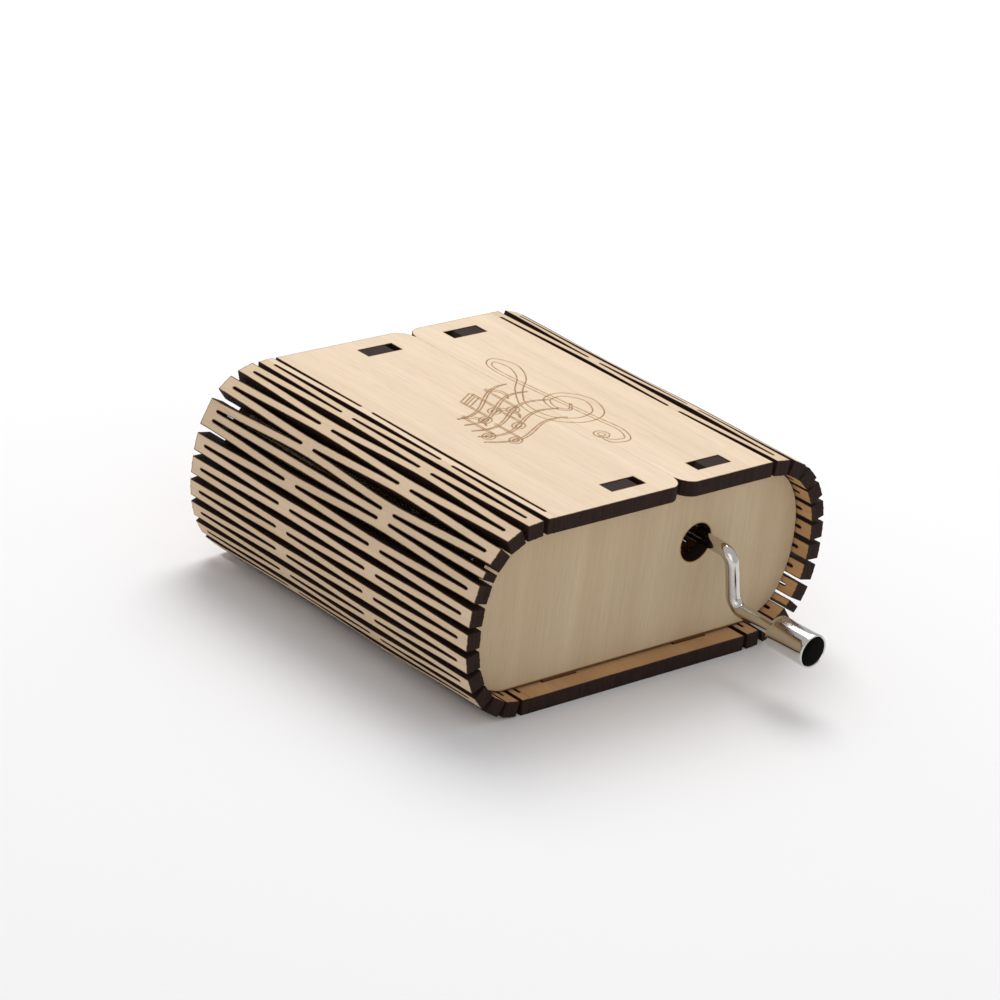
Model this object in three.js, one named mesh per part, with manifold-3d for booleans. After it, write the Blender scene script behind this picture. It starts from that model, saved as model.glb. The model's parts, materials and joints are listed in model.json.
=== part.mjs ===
// Hand-crank music box: a laser-cut plywood case with two living hinges, and an 18-note movement.
// Millimetres, +Z up, crank side at -Y. The origin is the middle of the underside.
import * as THREE from "three";
import { mergeGeometries, mergeVertices } from "three/addons/utils/BufferGeometryUtils.js";
import Module from "manifold-3d";

const wasm = await Module();
wasm.setup();

// ---- Driving dimensions -------------------------------------------------------------------

// Case
const SHEET = 3.0;
const LENGTH = 77.4;
const HEIGHT = 38.2;
const FRONT = -LENGTH / 2;
const BACK = LENGTH / 2;
const SEAM_X = 4.85;
const SEAM_GAP = 0.3;
const SEAM_CORNER = 3.5;

// Living hinges: rows of slits one pitch apart, cut in turn from the front and from the back.
// A strip runs from one front-cut row to the next, with a back-cut row down its middle. The
// narrow strip is where two front-cut rows follow each other. A front-cut row gapes where the
// wood beside it twists, so the gap between two strips is wider than a slit's kerf.
const KERF = 0.4;
const HINGE_GAP = 1.0;
const END_BRIDGE = 2.7;
const MIDDLE_BRIDGE = 3.1;
const MIDDLE_BRIDGE_BACK = 52.6;
// Side view of a bent hinge: half a superellipse that starts at the foot. A fullness of two is a
// round curve and more is squarer. The spread makes the rows bend more towards the middle.
const HINGES = {
  left: {
    side: -1, foot: -28.98, strips: 12, narrow: 9, bulge: 13.65, fullness: [2.11, 2.44], spread: 0.039,
  },
  right: {
    side: 1, foot: 27.51, strips: 13, narrow: 4, bulge: 14.93, fullness: [2.39, 2.2], spread: 0.067,
  },
};

// End plates and their tabs
const PLATE_OUTER = 34.8;
const PLATE_CLEARANCE = 0.35;
const TAB_WIDTH = 7.9;
const SLOT_WIDTH = 8.2;
const SLOT_DEPTH = 3.2;
const TAB_SHY = 0.1;
const BOTTOM_TAB_X = 16.3;
const TOP_TAB_OFFSET = 10.7;
const CRANK_HOLE = { x: 14.05, z: 23.2, radius: 3.8 };
const PLATE_CURVE_STEPS = 3;

// Crank
const CRANK_AXIS = { x: 16.3, z: 23.5 };
const ROD_RADIUS = 1.32;
const ROD_INNER_END = -3.6;
const ARM_Y = -41.8;
const ARM_THROW = 11.6;
const ARM_ANGLE = THREE.MathUtils.degToRad(13.7);
const BEND_RADIUS = 2.2;
const KNOB = { back: -52.9, front: -62.3, radius: 3.3, bore: 2.85, hole: 1.5, boreDepth: 4.2 };
const RIVET = { radius: 2.2, thickness: 0.9 };

// Movement
const BED_FLOOR = SHEET;
const BED_TOP = SHEET + 2.0;
const CYLINDER = { y: -14.0, z: 14.6, left: -15.2, right: 10.8, radius: 6.5, wall: 0.8 };
const ARBOR = { radius: 1.1, left: -19.4, right: 22.4 };
const PIN = { width: 0.36, height: 0.4, perNote: 4 };
const WORM = { pitchRadius: 2.4, rootRadius: 1.8, tipRadius: 2.9, bore: 1.39, length: 12.0, turns: 5 };
const WHEEL = { teeth: 20, rootRadius: 5.8, tipRadius: 6.95, thickness: 2.4, toothWidth: 0.62 };
const WHEEL_PITCH_RADIUS = CRANK_AXIS.z - CYLINDER.z - WORM.pitchRadius;
const THREAD_LEAD = (2 * Math.PI * WHEEL_PITCH_RADIUS) / WHEEL.teeth;
const THREAD_WIDTH = 0.62;
const COMB = { notes: 18, pitch: 1.4, tooth: 1.08, thickness: 1.1, z: 14.1, rootLong: 8.0, back: 16.0 };
const COMB_ROOT_SHORT = 0.5;
const COMB_TIP_Y = CYLINDER.y + CYLINDER.radius + PIN.height + 0.15;
const NOTES_MIDDLE = (CYLINDER.left + CYLINDER.right) / 2;
const COMB_SCREW_OFFSET = 8.0;
const COMB_SCREW_Y = 12.6;

// ---- Materials ----------------------------------------------------------------------------

function finish(color, roughness, metalness) {
  return new THREE.MeshStandardMaterial({ color, roughness, metalness });
}

const MATERIALS = {
  plywood: finish(0xdcc09c, 0.75, 0.0),
  strip: finish(0xb9946c, 0.8, 0.0),
  nickel: finish(0xd6d2cc, 0.18, 1.0),
  steel: finish(0xb4b6b8, 0.3, 1.0),
  brass: finish(0xc9a04c, 0.3, 1.0),
  casting: finish(0xa5a39c, 0.45, 0.9),
};

// ---- Solids -------------------------------------------------------------------------------

function toSolid(geometry) {
  const bare = geometry.clone();
  bare.deleteAttribute("normal");
  bare.deleteAttribute("uv");
  const merged = mergeVertices(bare, 1e-4);
  return new wasm.Manifold(new wasm.Mesh({
    numProp: 3,
    vertProperties: new Float32Array(merged.attributes.position.array),
    triVerts: new Uint32Array(merged.index.array),
  }));
}

function toGeometry(solid) {
  const mesh = solid.getMesh();
  const geometry = new THREE.BufferGeometry();
  geometry.setAttribute("position", new THREE.BufferAttribute(new Float32Array(mesh.vertProperties), 3));
  geometry.setIndex(new THREE.BufferAttribute(new Uint32Array(mesh.triVerts), 1));
  return geometry;
}

function cut(base, ...tools) {
  return toGeometry(tools.reduce((solid, tool) => solid.subtract(toSolid(tool)), toSolid(base)));
}

function join(base, ...others) {
  return toGeometry(others.reduce((solid, other) => solid.add(toSolid(other)), toSolid(base)));
}

function box([x0, x1], [y0, y1], [z0, z1]) {
  const geometry = new THREE.BoxGeometry(x1 - x0, y1 - y0, z1 - z0);
  return geometry.translate((x0 + x1) / 2, (y0 + y1) / 2, (z0 + z1) / 2);
}

// Round bar along x, y or z between two stations, centred on the other two coordinates.
function bar(axis, radius, from, to, centre, sides = 24) {
  const geometry = new THREE.CylinderGeometry(radius, radius, Math.abs(to - from), sides);
  if (axis === "x") geometry.rotateZ(Math.PI / 2);
  if (axis === "z") geometry.rotateX(Math.PI / 2);
  const middle = new THREE.Vector3(centre.x ?? 0, centre.y ?? 0, centre.z ?? 0);
  middle[axis] = (from + to) / 2;
  return geometry.translate(middle.x, middle.y, middle.z);
}

// Shape in the XY plane, made into a board that starts at height z.
function board(shape, z, thickness, curveSegments = 8) {
  const settings = { depth: thickness, bevelEnabled: false, curveSegments };
  return new THREE.ExtrudeGeometry(shape, settings).translate(0, 0, z);
}

// Shape in the XZ plane, made into an upright board whose back face is at backY.
function uprightBoard(shape, backY, thickness, curveSegments = 8) {
  return board(shape, 0, thickness, curveSegments).rotateX(Math.PI / 2).translate(0, backY, 0);
}

function rectangle(target, x0, x1, y0, y1) {
  target.moveTo(x0, y0);
  target.lineTo(x1, y0);
  target.lineTo(x1, y1);
  target.lineTo(x0, y1);
  return target;
}

// Closed loops of equal point count, joined in order and capped at both ends.
function loft(loops) {
  const sides = loops[0].length;
  const positions = loops.flat().flatMap((point) => [point.x, point.y, point.z]);
  const index = [];
  for (let ring = 0; ring + 1 < loops.length; ring += 1) {
    for (let k = 0; k < sides; k += 1) {
      const a = ring * sides + k;
      const b = ring * sides + ((k + 1) % sides);
      index.push(a, b + sides, b, a, a + sides, b + sides);
    }
  }
  const last = (loops.length - 1) * sides;
  for (let k = 1; k + 1 < sides; k += 1) {
    index.push(0, k, k + 1, last, last + k + 1, last + k);
  }
  const geometry = new THREE.BufferGeometry();
  geometry.setAttribute("position", new THREE.Float32BufferAttribute(positions, 3));
  geometry.setIndex(index);
  return geometry;
}

// ---- Scene --------------------------------------------------------------------------------

const model = new THREE.Group();

function add(name, geometry, material, parent = model) {
  const mesh = new THREE.Mesh(geometry, material);
  mesh.name = name;
  parent.add(mesh);
  return mesh;
}

// ---- Living hinges ------------------------------------------------------------------------

// A point of the superellipse, t running from -90 degrees at the foot to 90 at the cover.
function bendPoint({ side, foot, bulge, fullness }, t) {
  const power = 2 / (t < 0 ? fullness[0] : fullness[1]);
  return new THREE.Vector2(
    foot + side * bulge * Math.cos(t) ** power,
    HEIGHT / 2 + ((HEIGHT - SHEET) / 2) * Math.sign(t) * Math.abs(Math.sin(t)) ** power,
  );
}

// Hinge lines in the middle of the sheet, from the bottom panel (first) to the cover (last), and
// the strips between them. The rows are laid along the bend by the number of rows passed.
function hingeLines(hinge) {
  const samples = 2000;
  const path = [];
  for (let k = 0; k <= samples; k += 1) {
    path.push(bendPoint(hinge, Math.PI * (Math.min(k / samples, 1 - 1e-12) - 0.5)));
  }
  const lengths = [0];
  for (let k = 1; k <= samples; k += 1) lengths.push(lengths[k - 1] + path[k].distanceTo(path[k - 1]));
  const total = lengths[samples];
  const pointAt = (length) => {
    const k = Math.max(1, lengths.findIndex((reached) => reached >= length - 1e-9));
    const share = (length - lengths[k - 1]) / (lengths[k] - lengths[k - 1]);
    return path[k - 1].clone().lerp(path[k], share);
  };
  const rowCount = 2 * hinge.strips - 1;
  const lines = [];
  for (let strip = 0; strip <= hinge.strips; strip += 1) {
    const share = (strip * 2 - (strip >= hinge.narrow ? 1 : 0)) / rowCount;
    const point = pointAt(total * (share - hinge.spread * share * (1 - share)));
    lines.push({ x: point.x, z: point.y });
  }
  const strips = lines.slice(1).map((line, k) => {
    const across = hinge.side * (line.x - lines[k].x);
    const up = line.z - lines[k].z;
    return {
      angle: Math.atan2(up, across),
      length: Math.hypot(across, up),
      rows: k + 1 === hinge.narrow ? 1 : 2,
    };
  });
  return { pitch: total / rowCount, lines, strips };
}

const CHAINS = { left: hingeLines(HINGES.left), right: hingeLines(HINGES.right) };

// Back-cut row down the middle of a strip: one slit, then a cut that runs out at the back.
function backRow(shape, x) {
  const slit = new THREE.Path();
  rectangle(slit, x - KERF / 2, x + KERF / 2, FRONT + END_BRIDGE,
    FRONT + MIDDLE_BRIDGE_BACK - MIDDLE_BRIDGE);
  shape.holes.push(slit);
}

function stripShape({ rows, length }) {
  const start = HINGE_GAP / 2;
  const end = length - HINGE_GAP / 2;
  const shape = new THREE.Shape();
  shape.moveTo(start, FRONT);
  shape.lineTo(end, FRONT);
  shape.lineTo(end, BACK);
  if (rows === 2) {
    shape.lineTo((length + KERF) / 2, BACK);
    shape.lineTo((length + KERF) / 2, FRONT + MIDDLE_BRIDGE_BACK);
    shape.lineTo((length - KERF) / 2, FRONT + MIDDLE_BRIDGE_BACK);
    shape.lineTo((length - KERF) / 2, BACK);
    backRow(shape, length / 2);
  }
  shape.lineTo(start, BACK);
  return shape;
}

// Each strip lies from one hinge line to the next, turned about Y.
function addStrips(name) {
  const { side } = HINGES[name];
  const { lines, strips } = CHAINS[name];
  strips.forEach((strip, k) => {
    const geometry = board(stripShape(strip), -SHEET / 2, SHEET);
    const label = `${name}_strip_${String(k + 1).padStart(2, "0")}`;
    const mesh = add(label, geometry, MATERIALS.strip);
    mesh.position.set(lines[k].x, 0, lines[k].z);
    mesh.rotation.y = side > 0 ? -strip.angle : strip.angle - Math.PI;
  });
}

// ---- Panels -------------------------------------------------------------------------------

const SLOT_Y = PLATE_OUTER - SHEET / 2;

// Cutters for the slots of a panel that starts at height z, one near each end of the case.
function slotCutters(x, z) {
  return [-SLOT_Y, SLOT_Y].map((y) => box(
    [x - SLOT_WIDTH / 2, x + SLOT_WIDTH / 2],
    [y - SLOT_DEPTH / 2, y + SLOT_DEPTH / 2],
    [z - 1, z + SHEET + 1],
  ));
}

// Back-cut row in a panel beside the left hinge, as an inlet in the panel's back edge.
function backInlet(shape, x, direction) {
  const near = x - (direction * KERF) / 2;
  const far = x + (direction * KERF) / 2;
  shape.lineTo(near, BACK);
  shape.lineTo(near, FRONT + MIDDLE_BRIDGE_BACK);
  shape.lineTo(far, FRONT + MIDDLE_BRIDGE_BACK);
  shape.lineTo(far, BACK);
  backRow(shape, x);
}

function bottomPanelShape() {
  const left = HINGES.left.foot + HINGE_GAP / 2;
  const right = HINGES.right.foot - HINGE_GAP / 2;
  const shape = new THREE.Shape();
  shape.moveTo(left, FRONT);
  shape.lineTo(right, FRONT);
  shape.lineTo(right, BACK);
  backInlet(shape, HINGES.left.foot + CHAINS.left.pitch, -1);
  shape.lineTo(left, BACK);
  return shape;
}

function leftCoverShape() {
  const hinge = CHAINS.left.lines.at(-1).x;
  const seam = SEAM_X - SEAM_GAP / 2;
  const shape = new THREE.Shape();
  shape.moveTo(hinge + HINGE_GAP / 2, FRONT);
  shape.lineTo(seam - SEAM_CORNER, FRONT);
  shape.quadraticCurveTo(seam, FRONT, seam, FRONT + SEAM_CORNER);
  shape.lineTo(seam, BACK - SEAM_CORNER);
  shape.quadraticCurveTo(seam, BACK, seam - SEAM_CORNER, BACK);
  backInlet(shape, hinge + CHAINS.left.pitch, -1);
  shape.lineTo(hinge + HINGE_GAP / 2, BACK);
  return shape;
}

function rightCoverShape() {
  const hinge = CHAINS.right.lines.at(-1).x - HINGE_GAP / 2;
  const seam = SEAM_X + SEAM_GAP / 2;
  const shape = new THREE.Shape();
  shape.moveTo(hinge, FRONT);
  shape.lineTo(hinge, BACK);
  shape.lineTo(seam + SEAM_CORNER, BACK);
  shape.quadraticCurveTo(seam, BACK, seam, BACK - SEAM_CORNER);
  shape.lineTo(seam, FRONT + SEAM_CORNER);
  shape.quadraticCurveTo(seam, FRONT, seam + SEAM_CORNER, FRONT);
  return shape;
}

function bottomPanel() {
  const pilots = BED_SCREWS.map(([x, y]) => bar("z", 1.1, 0.9, SHEET + 1, { x, y }, 14));
  const slots = [-BOTTOM_TAB_X, BOTTOM_TAB_X].flatMap((x) => slotCutters(x, 0));
  return cut(board(bottomPanelShape(), 0, SHEET), ...slots, ...pilots);
}

function cover(shape, side) {
  const z = HEIGHT - SHEET;
  return cut(board(shape, z, SHEET), ...slotCutters(SEAM_X + side * TOP_TAB_OFFSET, z));
}

// ---- End plates ---------------------------------------------------------------------------

// The round end of a plate follows the inner faces of the strips, one clearance inside them.
function roundEnd(name) {
  const { side } = HINGES[name];
  const { lines, strips } = CHAINS[name];
  const inset = SHEET / 2 + PLATE_CLEARANCE;
  return strips.map(({ angle }, k) => new THREE.Vector2(
    (lines[k].x + lines[k + 1].x) / 2 - side * inset * Math.sin(angle),
    (lines[k].z + lines[k + 1].z) / 2 + inset * Math.cos(angle),
  ));
}

// A cover starts to open by turning about the middle of its hinge lines, weighted by their bends.
function coverCentre(name) {
  const { lines, strips } = CHAINS[name];
  const angles = [0, ...strips.map((strip) => strip.angle), Math.PI];
  const centre = new THREE.Vector2();
  lines.forEach((line, k) => {
    const share = (angles[k + 1] - angles[k]) / Math.PI;
    centre.add(new THREE.Vector2(line.x, line.z).multiplyScalar(share));
  });
  return centre;
}

// The seam side of a top tab leans away from the slot wall that swings past it.
function tabLean(name) {
  const centre = coverCentre(name);
  const wallX = SEAM_X + HINGES[name].side * (TOP_TAB_OFFSET - SLOT_WIDTH / 2);
  return (HEIGHT - centre.y) / Math.abs(wallX - centre.x);
}

function topTab(shape, name, edgeZ) {
  const { side } = HINGES[name];
  const tip = HEIGHT - TAB_SHY;
  const centre = SEAM_X + side * TOP_TAB_OFFSET;
  const outer = centre + (side * TAB_WIDTH) / 2;
  const inner = centre - (side * TAB_WIDTH) / 2;
  const innerTip = inner + side * tabLean(name) * (tip - (HEIGHT - SHEET));
  const corners = [
    [outer, edgeZ], [outer, tip], [innerTip, tip], [inner, HEIGHT - SHEET], [inner, edgeZ],
  ];
  if (side < 0) corners.reverse();
  corners.forEach(([x, z]) => shape.lineTo(x, z));
}

function bottomTab(shape, x, edgeZ) {
  shape.lineTo(x - TAB_WIDTH / 2, edgeZ);
  shape.lineTo(x - TAB_WIDTH / 2, TAB_SHY);
  shape.lineTo(x + TAB_WIDTH / 2, TAB_SHY);
  shape.lineTo(x + TAB_WIDTH / 2, edgeZ);
}

function endPlateShape() {
  const low = SHEET + PLATE_CLEARANCE;
  const high = HEIGHT - SHEET - PLATE_CLEARANCE;
  const shape = new THREE.Shape();
  shape.moveTo(HINGES.left.foot, low);
  bottomTab(shape, -BOTTOM_TAB_X, low);
  bottomTab(shape, BOTTOM_TAB_X, low);
  shape.lineTo(HINGES.right.foot, low);
  shape.splineThru([...roundEnd("right"), new THREE.Vector2(CHAINS.right.lines.at(-1).x, high)]);
  topTab(shape, "right", high);
  topTab(shape, "left", high);
  shape.lineTo(CHAINS.left.lines.at(-1).x, high);
  shape.splineThru([...roundEnd("left").reverse(), new THREE.Vector2(HINGES.left.foot, low)]);
  return shape;
}

function rearEndPlate() {
  return uprightBoard(endPlateShape(), PLATE_OUTER, SHEET, PLATE_CURVE_STEPS);
}

function frontEndPlate() {
  const plate = uprightBoard(endPlateShape(), SHEET - PLATE_OUTER, SHEET, PLATE_CURVE_STEPS);
  return cut(plate, bar("y", CRANK_HOLE.radius, -LENGTH, 0, CRANK_HOLE, 48));
}

// ---- Movement -----------------------------------------------------------------------------

const BED = { left: -21.5, right: 24.0, front: -28.6, back: 17.2 };
const POSTS = [[-19.6, -17.6], [19.8, 21.8]];
const BRACKET = {
  left: CRANK_AXIS.x - 3.1, right: CRANK_AXIS.x + 3.1, front: -27.6, back: -0.6, lugThickness: 2.0,
};
const BRACKET_TOP = BED_TOP + 1.2;
const LUG_FRONT = CYLINDER.y - 7.4 - BRACKET.lugThickness;
const LUG_BACK = CYLINDER.y + 7.4;
const BED_SCREWS = [[-18.6, -25.2], [-18.6, 4.0]];
const BRACKET_SCREWS = { front: LUG_FRONT - 2.0, back: LUG_BACK + 4.1 };

const BED_SCREW = { headRadius: 2.1, headHeight: 1.4, shankRadius: 1.0, shankLength: 3.8 };
const BRACKET_SCREW = { headRadius: 1.8, headHeight: 1.1, shankRadius: 0.85, shankLength: 2.8 };
const COMB_SCREW = { headRadius: 2.3, headHeight: 1.4, shankRadius: 1.0, shankLength: 4.0 };
const SCREW_SLOT = 0.5;

function slottedScrew(x, y, seat, { headRadius, headHeight, shankRadius, shankLength }) {
  const head = new THREE.CylinderGeometry(headRadius * 0.8, headRadius, headHeight, 20);
  head.rotateX(Math.PI / 2).translate(x, y, seat + headHeight / 2);
  const shank = bar("z", shankRadius, seat - shankLength, seat + 0.1, { x, y }, 14);
  const slot = box([x - headRadius, x + headRadius], [y - SCREW_SLOT / 2, y + SCREW_SLOT / 2],
    [seat + headHeight * 0.45, seat + headHeight + 1]);
  return cut(join(head, shank), slot);
}

function bedplate() {
  const plate = box([BED.left, BED.right], [BED.front, BED.back], [BED_FLOOR, BED_TOP]);
  const pedestal = box([NOTES_MIDDLE - 14, NOTES_MIDDLE + 14], [COMB.rootLong + 0.8, BED.back],
    [BED_TOP - 0.5, COMB.z]);
  const posts = POSTS.map(([x0, x1]) => join(
    box([x0, x1], [CYLINDER.y - 3.4, CYLINDER.y + 3.4], [BED_TOP - 0.5, CYLINDER.z]),
    bar("x", 3.4, x0, x1, CYLINDER),
  ));
  const bores = POSTS.map(([x0, x1]) => bar("x", ARBOR.radius + 0.2, x0 - 1, x1 + 1, CYLINDER, 16));
  const holes = [
    ...BED_SCREWS.map(([x, y]) => bar("z", 1.3, BED_FLOOR - 1, BED_TOP + 1, { x, y }, 14)),
    ...Object.values(BRACKET_SCREWS).map((y) => (
      bar("z", 1.0, BED_FLOOR - 1, BED_TOP + 1, { x: CRANK_AXIS.x, y }, 14))),
    ...[-1, 1].map((side) => (
      bar("z", 1.2, BED_TOP + 1, COMB.z + 1, { x: NOTES_MIDDLE + side * COMB_SCREW_OFFSET,
        y: COMB_SCREW_Y }, 14))),
  ];
  return cut(join(plate, pedestal, ...posts), ...bores, ...holes);
}

function wormBracket() {
  const { left, right, front, back, lugThickness } = BRACKET;
  const foot = box([left, right], [front, back], [BED_TOP, BRACKET_TOP]);
  const lugs = [LUG_FRONT, LUG_BACK].map((y) => join(
    box([left, right], [y, y + lugThickness], [BED_TOP + 0.2, CRANK_AXIS.z]),
    bar("y", (right - left) / 2, y, y + lugThickness, CRANK_AXIS),
  ));
  const bore = bar("y", ROD_RADIUS + 0.2, front - 1, back + 1, CRANK_AXIS, 16);
  const holes = Object.values(BRACKET_SCREWS).map((y) => (
    bar("z", 1.0, BED_FLOOR, BRACKET_TOP + 1, { x: CRANK_AXIS.x, y }, 14)));
  return cut(join(foot, ...lugs), bore, ...holes);
}

// Teeth run from the slanted root line to the cylinder, the longest at the left.
function comb() {
  const { notes, pitch, tooth, thickness, z, rootLong, back } = COMB;
  const start = NOTES_MIDDLE - (notes * pitch) / 2;
  const shape = new THREE.Shape();
  shape.moveTo(start - 1.2, back);
  shape.lineTo(start - 1.2, rootLong + 0.4);
  for (let note = 0; note < notes; note += 1) {
    const x = start + note * pitch + (pitch - tooth) / 2;
    const root = THREE.MathUtils.lerp(rootLong, COMB_ROOT_SHORT, note / (notes - 1));
    shape.lineTo(x, root);
    shape.lineTo(x, COMB_TIP_Y);
    shape.lineTo(x + tooth, COMB_TIP_Y);
    shape.lineTo(x + tooth, root - 0.2);
  }
  shape.lineTo(start + notes * pitch + 1.2, COMB_ROOT_SHORT);
  shape.lineTo(start + notes * pitch + 1.2, back);
  const holes = [-1, 1].map((side) => (
    bar("z", 1.3, z - 1, z + thickness + 1, { x: NOTES_MIDDLE + side * COMB_SCREW_OFFSET,
      y: COMB_SCREW_Y }, 14)));
  return cut(board(shape, z, thickness), ...holes);
}

// Pins stand in one ring per note, turned on from ring to ring by an uneven step.
function drumPins() {
  const pins = [];
  const start = NOTES_MIDDLE - ((COMB.notes - 1) * COMB.pitch) / 2;
  for (let note = 0; note < COMB.notes; note += 1) {
    for (let k = 0; k < PIN.perNote; k += 1) {
      const angle = note * 2.4 + k * (1.35 + 0.22 * Math.sin(note * 1.7 + k));
      const pin = new THREE.BoxGeometry(PIN.width, PIN.width, PIN.height + 0.3);
      pin.translate(start + note * COMB.pitch, 0, CYLINDER.radius + PIN.height / 2 - 0.15);
      pins.push(pin.rotateX(angle).translate(0, CYLINDER.y, CYLINDER.z));
    }
  }
  return mergeGeometries(pins);
}

function drum() {
  const sleeve = bar("x", CYLINDER.radius, CYLINDER.left, CYLINDER.right, CYLINDER, 48);
  const inside = bar("x", CYLINDER.radius - CYLINDER.wall, CYLINDER.left - 1, CYLINDER.right + 1,
    CYLINDER, 24);
  return cut(join(sleeve, drumPins()), inside);
}

function drumCap(from, to) {
  const disc = bar("x", CYLINDER.radius - CYLINDER.wall - 0.15, from, to, CYLINDER, 24);
  return cut(disc, bar("x", ARBOR.radius + 0.08, from - 1, to + 1, CYLINDER, 16));
}

function wormWheel() {
  const shape = new THREE.Shape();
  const { teeth, rootRadius, tipRadius, thickness, toothWidth } = WHEEL;
  for (let tooth = 0; tooth < teeth; tooth += 1) {
    const middle = ((tooth + 0.5) * 2 * Math.PI) / teeth + Math.PI / 2;
    const corners = [[rootRadius, -0.62], [tipRadius, -0.4], [tipRadius, 0.4], [rootRadius, 0.62]];
    for (const [radius, across] of corners) {
      const angle = middle + (across * toothWidth) / radius;
      const point = [radius * Math.cos(angle), radius * Math.sin(angle)];
      if (shape.curves.length || shape.currentPoint.length()) shape.lineTo(...point);
      else shape.moveTo(...point);
    }
  }
  const wheel = board(shape, -thickness / 2, thickness);
  wheel.rotateZ(Math.PI / 2).rotateY(Math.PI / 2).rotateX(Math.PI / 2);
  wheel.translate(CRANK_AXIS.x, CYLINDER.y, CYLINDER.z);
  const hub = bar("x", 2.6, CYLINDER.right + 1.2, CRANK_AXIS.x + thickness / 2 + 0.6, CYLINDER, 20);
  return cut(join(wheel, hub), bar("x", ARBOR.radius + 0.08, 0, 30, CYLINDER, 16));
}

// Right-handed thread about +Y whose underside crosses the wheel's top gap.
function worm() {
  const stepsPerTurn = 20;
  const steps = WORM.turns * stepsPerTurn;
  const loops = [];
  for (let step = 0; step <= steps; step += 1) {
    const turn = step / stepsPerTurn - WORM.turns / 2;
    const angle = Math.PI + turn * 2 * Math.PI;
    const y = CYLINDER.y + turn * THREAD_LEAD;
    const section = [[WORM.rootRadius - 0.2, -0.6], [WORM.tipRadius, -0.4], [WORM.tipRadius, 0.4],
      [WORM.rootRadius - 0.2, 0.6]];
    loops.push(section.map(([radius, across]) => new THREE.Vector3(
      CRANK_AXIS.x + radius * Math.sin(angle),
      y + across * THREAD_WIDTH,
      CRANK_AXIS.z + radius * Math.cos(angle),
    )));
  }
  const core = bar("y", WORM.rootRadius, CYLINDER.y - WORM.length / 2, CYLINDER.y + WORM.length / 2,
    CRANK_AXIS, 20);
  const bore = bar("y", WORM.bore, CYLINDER.y - WORM.length, CYLINDER.y + WORM.length, CRANK_AXIS, 16);
  return cut(join(core, loft(loops)), bore);
}

// ---- Crank --------------------------------------------------------------------------------

const ARM = { x: Math.sin(ARM_ANGLE), z: -Math.cos(ARM_ANGLE) };
const HANDLE_AXIS = { x: CRANK_AXIS.x + ARM_THROW * ARM.x, z: CRANK_AXIS.z + ARM_THROW * ARM.z };
const RIVET_BACK = KNOB.front + KNOB.boreDepth - 0.15;

function crankPath() {
  const at = (throwShare, y) => new THREE.Vector3(
    CRANK_AXIS.x + ARM_THROW * throwShare * ARM.x,
    y,
    CRANK_AXIS.z + ARM_THROW * throwShare * ARM.z,
  );
  const bend = BEND_RADIUS / ARM_THROW;
  const path = new THREE.CurvePath();
  path.add(new THREE.LineCurve3(at(0, ROD_INNER_END), at(0, ARM_Y + BEND_RADIUS)));
  path.add(new THREE.QuadraticBezierCurve3(at(0, ARM_Y + BEND_RADIUS), at(0, ARM_Y), at(bend, ARM_Y)));
  path.add(new THREE.LineCurve3(at(bend, ARM_Y), at(1 - bend, ARM_Y)));
  path.add(new THREE.QuadraticBezierCurve3(at(1 - bend, ARM_Y), at(1, ARM_Y), at(1, ARM_Y - BEND_RADIUS)));
  path.add(new THREE.LineCurve3(at(1, ARM_Y - BEND_RADIUS), at(1, RIVET_BACK - 0.2)));
  return path;
}

function crankRod() {
  const section = new THREE.Shape();
  section.absarc(0, 0, ROD_RADIUS, 0, 2 * Math.PI, false);
  const settings = { steps: 66, extrudePath: crankPath(), curveSegments: 12, bevelEnabled: false };
  const rod = new THREE.ExtrudeGeometry(section, settings);
  const rivet = bar("y", RIVET.radius, RIVET_BACK - RIVET.thickness, RIVET_BACK, HANDLE_AXIS, 16);
  return join(rod, rivet);
}

// Turned barrel, hollow at its front, with a hole for the rod behind the hollow.
function crankKnob() {
  const { back, front, radius, bore, hole, boreDepth } = KNOB;
  const profile = [
    [hole, 0], [radius - 0.5, 0], [radius - 0.1, 0.6], [radius, back - front - 0.3],
    [radius - 0.25, back - front], [bore, back - front], [bore, back - front - boreDepth],
    [hole, back - front - boreDepth], [hole, 0],
  ].map(([r, y]) => new THREE.Vector2(r, y));
  const knob = new THREE.LatheGeometry(profile, 24);
  return knob.rotateX(Math.PI).translate(HANDLE_AXIS.x, back, HANDLE_AXIS.z);
}

// ---- Assembly -----------------------------------------------------------------------------

function addCase() {
  add("bottom_panel", bottomPanel(), MATERIALS.plywood);
  add("left_cover", cover(leftCoverShape(), -1), MATERIALS.plywood);
  add("right_cover", cover(rightCoverShape(), 1), MATERIALS.plywood);
  addStrips("left");
  addStrips("right");
  add("front_end_plate", frontEndPlate(), MATERIALS.plywood);
  add("rear_end_plate", rearEndPlate(), MATERIALS.plywood);
}

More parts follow.
